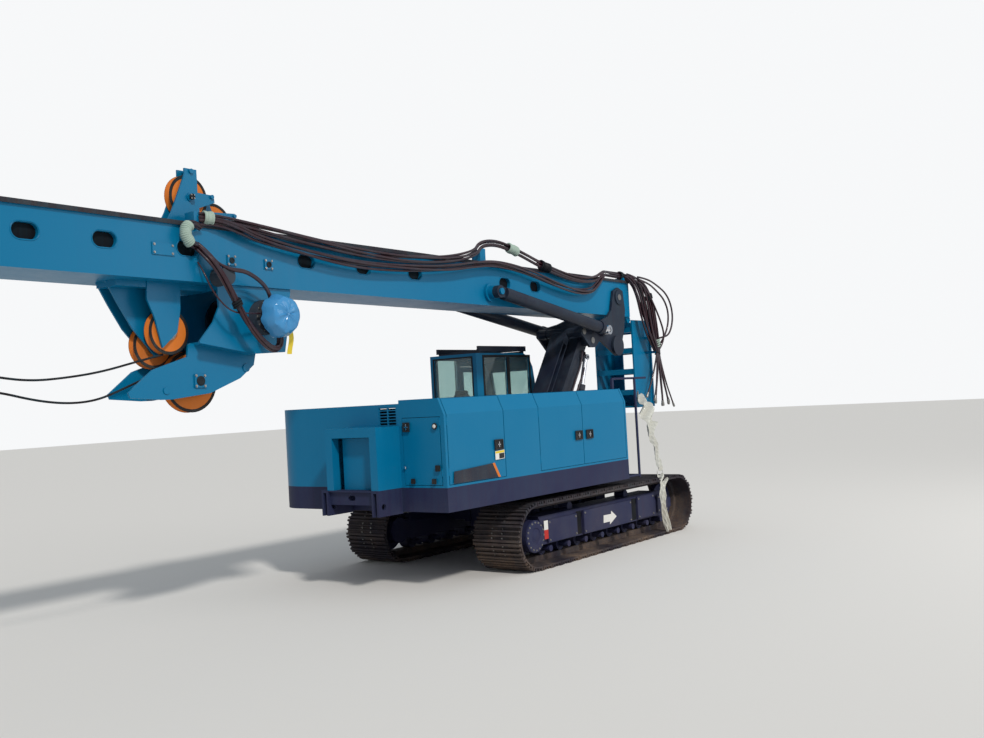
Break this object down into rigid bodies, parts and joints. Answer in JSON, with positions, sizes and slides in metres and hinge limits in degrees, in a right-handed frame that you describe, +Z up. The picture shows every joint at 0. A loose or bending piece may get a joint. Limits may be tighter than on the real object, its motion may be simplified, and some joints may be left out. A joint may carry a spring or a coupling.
{
  "type": "rotary drilling rig",
  "caption": "Crawler rotary drilling rig parked for transport: box mast folded back level over cab and hood, lower mast hanging, drill head and kelly bar removed.",
  "frame": {"origin": "on the ground, at the middle of the machine's overall length and width", "axes": "+X to the front of the machine, +Y to its left, +Z up"},
  "size_m": [14.3636, 3, 4.7749],
  "materials": {
    "teal_paint": "semi-gloss",
    "dark_paint": "satin",
    "sheave_paint": "satin",
    "track_steel": "worn",
    "pin_steel": "machined",
    "rod_chrome": "polished",
    "cast_block": "cast",
    "cab_glazing": "clear",
    "seat_cloth": "woven",
    "trim_plastic": "moulded",
    "hose_rubber": "matte"
  },
  "bodies": {
    "undercarriage": {"car_body": "dark_paint", "slew_ring_outer": "pin_steel"},
    "left_track": {"track_frame_left": "dark_paint", "track_belt_left": "track_steel"},
    "right_track": {"track_frame_right": "dark_paint", "track_belt_right": "track_steel"},
    "upper": {"upper_frame": "dark_paint", "rear_lugs": "dark_paint", "hood_right": "teal_paint", "machine_house": "teal_paint", "rear_grille": "teal_paint", "rear_portal": "teal_paint", "rear_locker": "teal_paint", "engine_block": "cast_block", "cab_shell": "teal_paint", "cab_glass": "cab_glazing", "cab_seat": "seat_cloth", "cab_console": "trim_plastic", "cab_roof_guard": "dark_paint", "cab_mounts": "trim_plastic", "handrail": "dark_paint"},
    "hood_door_rear": {"hood_door_rear": "teal_paint"},
    "hood_door_mid": {"hood_door_mid": "teal_paint"},
    "hood_door_front": {"hood_door_front": "teal_paint"},
    "rear_door": {"rear_door": "teal_paint"},
    "left_door_rear": {"left_door_rear": "teal_paint"},
    "left_door_front": {"left_door_front": "teal_paint"},
    "cab_door": {"cab_door": "teal_paint", "cab_door_glass": "cab_glazing"},
    "boom": {"boom": "dark_paint"},
    "boom_link": {"boom_link": "dark_paint"},
    "support": {"support_frame": "dark_paint", "support_bosses": "dark_paint", "support_pins": "pin_steel"},
    "luff_barrel": {"luff_barrels": "dark_paint"},
    "luff_rod": {"luff_rods": "rod_chrome"},
    "mast": {"mast_beam": "teal_paint", "winch_frame": "teal_paint", "winch_motors": "cast_block", "top_bracket": "teal_paint", "hose_brackets": "teal_paint", "mast_hoses": "hose_rubber"},
    "lower_mast": {"lower_mast": "teal_paint", "hose_arms": "teal_paint", "foot_hoses": "hose_rubber"},
    "head": {"head_frame": "teal_paint"},
    "head_sheaves": {"head_sheaves": "sheave_paint"},
    "mast_barrel": {"mast_barrels": "dark_paint"},
    "mast_rod": {"mast_rods": "rod_chrome"},
    "winch_drum": {"winch_drum": "dark_paint"},
    "sheave_low": {"sheave_low": "sheave_paint"},
    "sheave_guide_1": {"sheave_guide_1": "sheave_paint"},
    "sheave_guide_2": {"sheave_guide_2": "sheave_paint"},
    "sheave_top_1": {"sheave_top_1": "sheave_paint"},
    "sheave_top_2": {"sheave_top_2": "sheave_paint"}
  },
  "joints": [
    {"name": "track_extend_left", "type": "slide", "parent": "undercarriage", "child": "left_track", "axis": [0, 1, 0], "range_m": [0, 0.45]},
    {"name": "track_extend_right", "type": "slide", "parent": "undercarriage", "child": "right_track", "axis": [0, -1, 0], "range_m": [0, 0.45]},
    {"name": "slew", "type": "hinge", "parent": "undercarriage", "child": "upper", "pos_m": [3.8439, 0, 0.77], "axis": [0, 0, 1], "continuous": true},
    {"name": "hood_door_rear_open", "type": "hinge", "parent": "upper", "child": "hood_door_rear", "pos_m": [0.2389, -1.485, 1.6], "axis": [0, 0, -1], "range_deg": [0, 100]},
    {"name": "hood_door_mid_open", "type": "hinge", "parent": "upper", "child": "hood_door_mid", "pos_m": [2.0739, -1.485, 1.6], "axis": [0, 0, -1], "range_deg": [0, 100]},
    {"name": "hood_door_front_open", "type": "hinge", "parent": "upper", "child": "hood_door_front", "pos_m": [4.2439, -1.485, 1.6], "axis": [0, 0, 1], "range_deg": [0, 90]},
    {"name": "rear_door_open", "type": "hinge", "parent": "upper", "child": "rear_door", "pos_m": [0.1939, -1.419, 1.6], "axis": [0, 0, 1], "range_deg": [0, 100]},
    {"name": "left_door_rear_open", "type": "hinge", "parent": "upper", "child": "left_door_rear", "pos_m": [0.7649, 1.485, 1.6], "axis": [0, 0, 1], "range_deg": [0, 100]},
    {"name": "left_door_front_open", "type": "hinge", "parent": "upper", "child": "left_door_front", "pos_m": [1.7949, 1.485, 1.6], "axis": [0, 0, 1], "range_deg": [0, 90]},
    {"name": "cab_door_open", "type": "hinge", "parent": "upper", "child": "cab_door", "pos_m": [4.0099, 1.37, 1.9], "axis": [0, 0, 1], "range_deg": [0, 145]},
    {"name": "boom_lift", "type": "hinge", "parent": "upper", "child": "boom", "pos_m": [4.1739, 0, 1.53], "axis": [0, -1, 0], "range_deg": [0, 28]},
    {"name": "link_swing", "type": "hinge", "parent": "upper", "child": "boom_link", "pos_m": [3.9339, 0, 1.67], "axis": [0, -1, 0], "range_deg": [0, 28]},
    {"name": "support_level", "type": "hinge", "parent": "boom", "child": "support", "pos_m": [5.2139, 0, 3.04], "axis": [0, -1, 0], "range_deg": [-28, 0]},
    {"name": "luff_barrel_swing", "type": "hinge", "parent": "upper", "child": "luff_barrel", "pos_m": [4.6139, 0, 1.33], "axis": [0, -1, 0], "range_deg": [0, 25.62]},
    {"name": "luff_rod_slide", "type": "slide", "parent": "luff_barrel", "child": "luff_rod", "axis": [0.3433, 0, 0.9392], "range_m": [0, 0.22368]},
    {"name": "mast_raise", "type": "hinge", "parent": "support", "child": "mast", "pos_m": [6.0939, 0, 3.76], "axis": [0, 1, 0], "range_deg": [0, 89.31]},
    {"name": "lower_mast_fold", "type": "hinge", "parent": "mast", "child": "lower_mast", "pos_m": [6.54178, 0, 3.41458], "axis": [0, 1, 0], "range_deg": [-89.31, 0]},
    {"name": "mast_barrel_swing", "type": "hinge", "parent": "mast", "child": "mast_barrel", "pos_m": [2.64268, 0, 3.67956], "axis": [0, 1, 0], "range_deg": [-2.18, 0]},
    {"name": "mast_rod_slide", "type": "slide", "parent": "mast_barrel", "child": "mast_rod", "axis": [0.9862, 0, -0.1653], "range_m": [0, 1.13629]},
    {"name": "head_fold", "type": "hinge", "parent": "mast", "child": "head", "pos_m": [-6.89985, 0, 3.52646], "axis": [0, 1, 0], "range_deg": [0, 90]},
    {"name": "head_sheaves_spin", "type": "hinge", "parent": "head", "child": "head_sheaves", "pos_m": [-6.88178, 0, 2.53617], "axis": [0, 1, 0], "continuous": true},
    {"name": "winch_drum_spin", "type": "hinge", "parent": "mast", "child": "winch_drum", "pos_m": [-1.40614, 0, 3.22028], "axis": [0, 1, 0], "continuous": true},
    {"name": "sheave_low_spin", "type": "hinge", "parent": "mast", "child": "sheave_low", "pos_m": [-2.13614, 0, 2.56002], "axis": [0, 1, 0], "continuous": true},
    {"name": "sheave_guide_1_spin", "type": "hinge", "parent": "mast", "child": "sheave_guide_1", "pos_m": [-2.5066, 0, 2.93951], "axis": [0, 1, 0], "continuous": true},
    {"name": "sheave_guide_2_spin", "type": "hinge", "parent": "mast", "child": "sheave_guide_2", "pos_m": [-2.44603, 0, 3.06979], "axis": [0, 1, 0], "continuous": true},
    {"name": "sheave_top_1_spin", "type": "hinge", "parent": "mast", "child": "sheave_top_1", "pos_m": [-2.13809, 0, 4.47419], "axis": [0, 1, 0], "continuous": true},
    {"name": "sheave_top_2_spin", "type": "hinge", "parent": "mast", "child": "sheave_top_2", "pos_m": [-1.74083, 0, 4.24439], "axis": [0, 1, 0], "continuous": true}
  ],
  "couplings": [
    {"joint": "link_swing", "follows": "boom_lift", "ratio": 1},
    {"joint": "support_level", "follows": "boom_lift", "ratio": -1},
    {"joint": "luff_barrel_swing", "follows": "boom_lift", "ratio": 0.91466},
    {"joint": "luff_rod_slide", "follows": "boom_lift", "m_per_rad": 0.4573},
    {"joint": "lower_mast_fold", "follows": "mast_raise", "ratio": -1},
    {"joint": "mast_barrel_swing", "follows": "mast_raise", "ratio": -0.024273},
    {"joint": "mast_rod_slide", "follows": "mast_raise", "m_per_rad": 0.72884}
  ]
}
